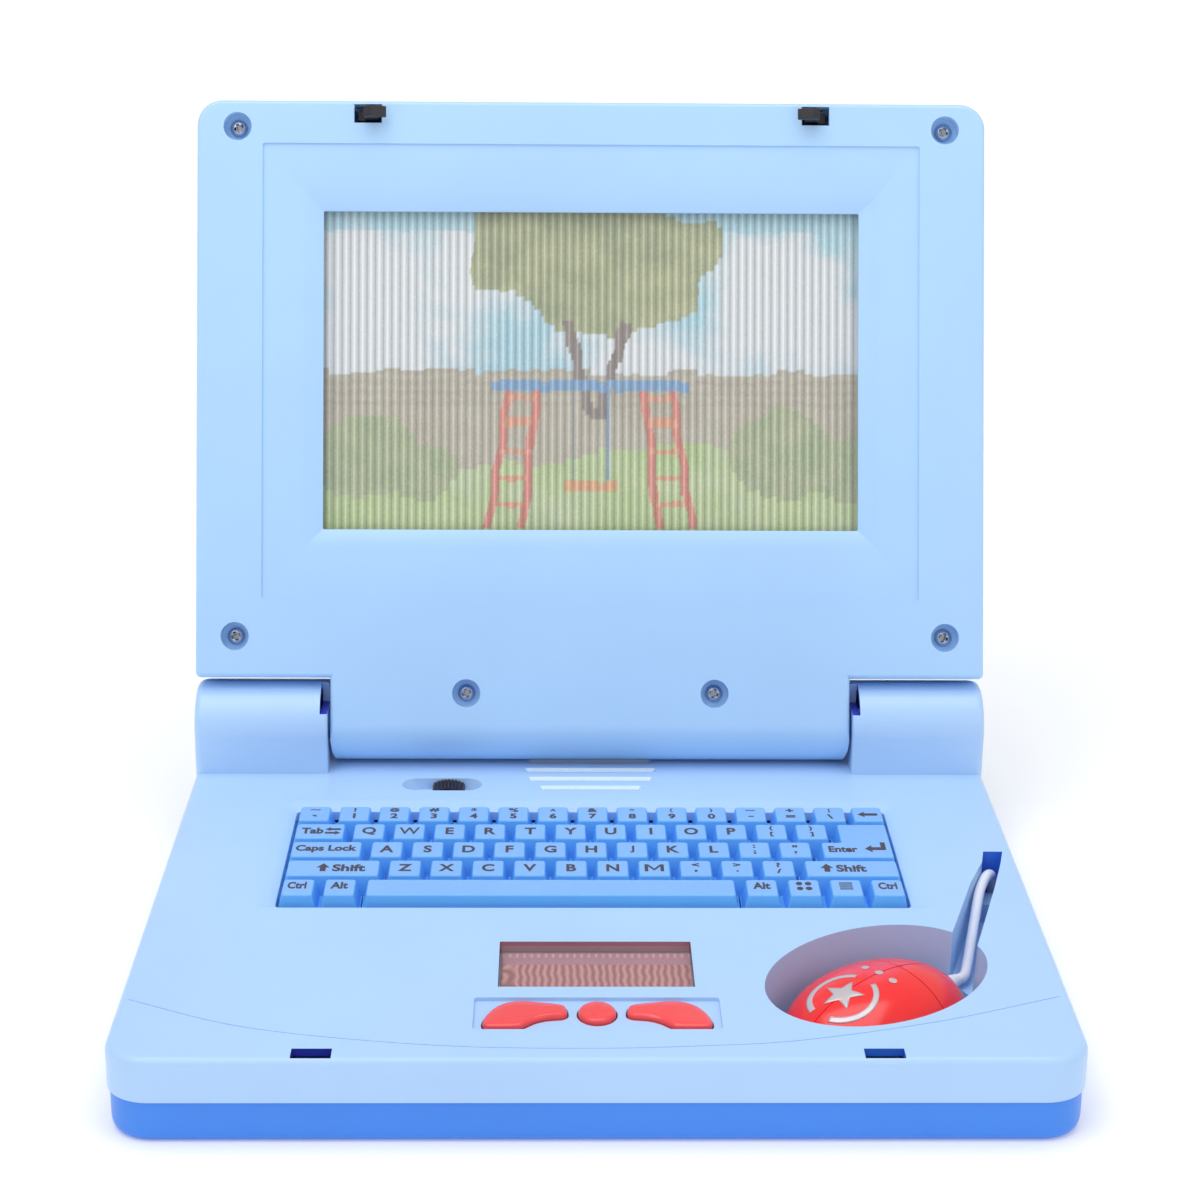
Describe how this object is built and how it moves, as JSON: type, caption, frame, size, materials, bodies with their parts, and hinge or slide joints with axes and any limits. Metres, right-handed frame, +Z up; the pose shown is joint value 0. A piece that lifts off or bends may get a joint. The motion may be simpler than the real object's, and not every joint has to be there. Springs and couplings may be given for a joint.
{
  "type": "toy laptop computer",
  "caption": "Toy laptop computer with an opening lid, ribbed lens screen, pressing keys and buttons, a trackpad, a speaker and a corded toy mouse in its well.",
  "frame": {"origin": "centre of the flat underside of the base, on the surface it stands on", "axes": "+Z up, -Y towards the user, +X to the user's right; the lid's hinge runs along X at the back"},
  "size_m": [0.25, 0.2717, 0.2257],
  "materials": {
    "pale_blue_plastic": "satin moulded",
    "lid_blue_plastic": "satin moulded",
    "deep_blue_plastic": "satin moulded",
    "key_blue_plastic": "moulded, printed legends",
    "red_plastic": "glossy moulded",
    "black_plastic": "moulded",
    "clear_lens": "clear moulded, ribbed",
    "printed_card": "printed card",
    "brown_card": "printed card",
    "zinc_steel": "zinc plated",
    "circuit_board": "solder mask",
    "grey_rubber": "matte",
    "white_cord": "soft PVC",
    "battery_sleeve": "plain wrapped"
  },
  "bodies": {
    "base": {"base_top_shell": "pale_blue_plastic", "base_bottom_shell": "deep_blue_plastic", "base_screw_front_left": "zinc_steel", "base_screw_front_right": "zinc_steel", "base_screw_rear_left": "zinc_steel", "base_screw_rear_right": "zinc_steel", "battery_1": "battery_sleeve", "battery_2": "battery_sleeve", "battery_3": "battery_sleeve", "battery_contact_left": "zinc_steel", "battery_contact_right": "zinc_steel", "main_circuit_board": "circuit_board", "rubber_key_mat": "grey_rubber", "button_contact_mat": "grey_rubber", "speaker_basket": "zinc_steel", "speaker_cone": "black_plastic", "power_switch_body": "black_plastic", "lid_wire_loom": "black_plastic", "trackpad_picture_card": "brown_card", "trackpad_lens": "clear_lens", "mouse_cord": "white_cord"},
    "lid": {"lid_front_bezel": "lid_blue_plastic", "lid_rear_cover": "lid_blue_plastic", "screen_lens": "clear_lens", "screen_picture_card": "printed_card", "screen_light_board": "circuit_board", "lid_screw_top_left": "zinc_steel", "lid_screw_top_right": "zinc_steel", "lid_screw_mid_left": "zinc_steel", "lid_screw_mid_right": "zinc_steel", "lid_screw_barrel_left": "zinc_steel", "lid_screw_barrel_right": "zinc_steel"},
    "latch_left": {"latch_hook_left": "black_plastic"},
    "latch_right": {"latch_hook_right": "black_plastic"},
    "power_switch": {"power_switch_knob": "black_plastic"},
    "battery_door": {"battery_door": "deep_blue_plastic", "battery_door_screw": "zinc_steel"},
    "mouse": {"mouse_top_shell": "red_plastic", "mouse_bottom_shell": "red_plastic", "mouse_contact_board": "circuit_board", "mouse_strain_relief": "white_cord"},
    "mouse_left_click": {"mouse_button_left": "red_plastic"},
    "mouse_right_click": {"mouse_button_right": "red_plastic"},
    "button_left": {"red_button_left": "red_plastic"},
    "button_center": {"red_button_center": "red_plastic"},
    "button_right": {"red_button_right": "red_plastic"},
    "keys_strip_numbers": {"key_strip_numbers": "key_blue_plastic"},
    "key_backspace_body": {"key_backspace": "key_blue_plastic"},
    "key_tab_body": {"key_tab": "key_blue_plastic"},
    "keys_strip_qwerty": {"key_strip_qwerty": "key_blue_plastic"},
    "key_caps_lock_body": {"key_caps_lock": "key_blue_plastic"},
    "keys_strip_asdf": {"key_strip_asdf": "key_blue_plastic"},
    "key_enter_body": {"key_enter": "key_blue_plastic"},
    "key_shift_left_body": {"key_shift_left": "key_blue_plastic"},
    "keys_strip_zxcv": {"key_strip_zxcv": "key_blue_plastic"},
    "key_shift_right_body": {"key_shift_right": "key_blue_plastic"},
    "keys_pair_lower_left": {"key_pair_lower_left": "key_blue_plastic"},
    "key_space_body": {"key_space": "key_blue_plastic"},
    "keys_group_lower_right": {"key_group_lower_right": "key_blue_plastic"}
  },
  "joints": [
    {"name": "lid_hinge", "type": "hinge", "parent": "base", "child": "lid", "pos_m": [0, 0.0908, 0.036], "axis": [1, 0, 0], "range_deg": [-3, 109.2]},
    {"name": "latch_left_slide", "type": "slide", "parent": "lid", "child": "latch_left", "axis": [-1, 0, 0], "range_m": [0, 0.0025], "stiffness_N_per_m": 300, "springref_m": -0.001},
    {"name": "latch_right_slide", "type": "slide", "parent": "lid", "child": "latch_right", "axis": [1, 0, 0], "range_m": [0, 0.0025], "stiffness_N_per_m": 300, "springref_m": -0.001},
    {"name": "power_switch_slide", "type": "slide", "parent": "base", "child": "power_switch", "axis": [1, 0, 0], "range_m": [-0.0041, 0]},
    {"name": "battery_door_slide", "type": "slide", "parent": "base", "child": "battery_door", "axis": [0, 0, -1], "range_m": [0, 0.03]},
    {"name": "mouse_lift", "type": "slide", "parent": "base", "child": "mouse", "axis": [0, 0, -1], "range_m": [-0.038, 0], "deforming": ["mouse_cord"]},
    {"name": "mouse_left_button_press", "type": "slide", "parent": "mouse", "child": "mouse_left_click", "axis": [0, 0, -1], "range_m": [0, 0.0008], "stiffness_N_per_m": 400, "springref_m": -0.001},
    {"name": "mouse_right_button_press", "type": "slide", "parent": "mouse", "child": "mouse_right_click", "axis": [0, 0, -1], "range_m": [0, 0.0008], "stiffness_N_per_m": 400, "springref_m": -0.001},
    {"name": "red_button_left_press", "type": "slide", "parent": "base", "child": "button_left", "axis": [0, 0, -1], "range_m": [0, 0.0012], "stiffness_N_per_m": 400, "springref_m": -0.001},
    {"name": "red_button_center_press", "type": "slide", "parent": "base", "child": "button_center", "axis": [0, 0, -1], "range_m": [0, 0.0012], "stiffness_N_per_m": 400, "springref_m": -0.001},
    {"name": "red_button_right_press", "type": "slide", "parent": "base", "child": "button_right", "axis": [0, 0, -1], "range_m": [0, 0.0012], "stiffness_N_per_m": 400, "springref_m": -0.001},
    {"name": "key_strip_numbers_press", "type": "slide", "parent": "base", "child": "keys_strip_numbers", "axis": [0, 0, -1], "range_m": [0, 0.0015], "stiffness_N_per_m": 400, "springref_m": -0.001},
    {"name": "key_backspace_press", "type": "slide", "parent": "base", "child": "key_backspace_body", "axis": [0, 0, -1], "range_m": [0, 0.0015], "stiffness_N_per_m": 400, "springref_m": -0.001},
    {"name": "key_tab_press", "type": "slide", "parent": "base", "child": "key_tab_body", "axis": [0, 0, -1], "range_m": [0, 0.0015], "stiffness_N_per_m": 400, "springref_m": -0.001},
    {"name": "key_strip_qwerty_press", "type": "slide", "parent": "base", "child": "keys_strip_qwerty", "axis": [0, 0, -1], "range_m": [0, 0.0015], "stiffness_N_per_m": 400, "springref_m": -0.001},
    {"name": "key_caps_lock_press", "type": "slide", "parent": "base", "child": "key_caps_lock_body", "axis": [0, 0, -1], "range_m": [0, 0.0015], "stiffness_N_per_m": 400, "springref_m": -0.001},
    {"name": "key_strip_asdf_press", "type": "slide", "parent": "base", "child": "keys_strip_asdf", "axis": [0, 0, -1], "range_m": [0, 0.0015], "stiffness_N_per_m": 400, "springref_m": -0.001},
    {"name": "key_enter_press", "type": "slide", "parent": "base", "child": "key_enter_body", "axis": [0, 0, -1], "range_m": [0, 0.0015], "stiffness_N_per_m": 400, "springref_m": -0.001},
    {"name": "key_shift_left_press", "type": "slide", "parent": "base", "child": "key_shift_left_body", "axis": [0, 0, -1], "range_m": [0, 0.0015], "stiffness_N_per_m": 400, "springref_m": -0.001},
    {"name": "key_strip_zxcv_press", "type": "slide", "parent": "base", "child": "keys_strip_zxcv", "axis": [0, 0, -1], "range_m": [0, 0.0015], "stiffness_N_per_m": 400, "springref_m": -0.001},
    {"name": "key_shift_right_press", "type": "slide", "parent": "base", "child": "key_shift_right_body", "axis": [0, 0, -1], "range_m": [0, 0.0015], "stiffness_N_per_m": 400, "springref_m": -0.001},
    {"name": "key_pair_lower_left_press", "type": "slide", "parent": "base", "child": "keys_pair_lower_left", "axis": [0, 0, -1], "range_m": [0, 0.0015], "stiffness_N_per_m": 400, "springref_m": -0.001},
    {"name": "key_space_press", "type": "slide", "parent": "base", "child": "key_space_body", "axis": [0, 0, -1], "range_m": [0, 0.0015], "stiffness_N_per_m": 400, "springref_m": -0.001},
    {"name": "key_group_lower_right_press", "type": "slide", "parent": "base", "child": "keys_group_lower_right", "axis": [0, 0, -1], "range_m": [0, 0.0015], "stiffness_N_per_m": 400, "springref_m": -0.001}
  ]
}
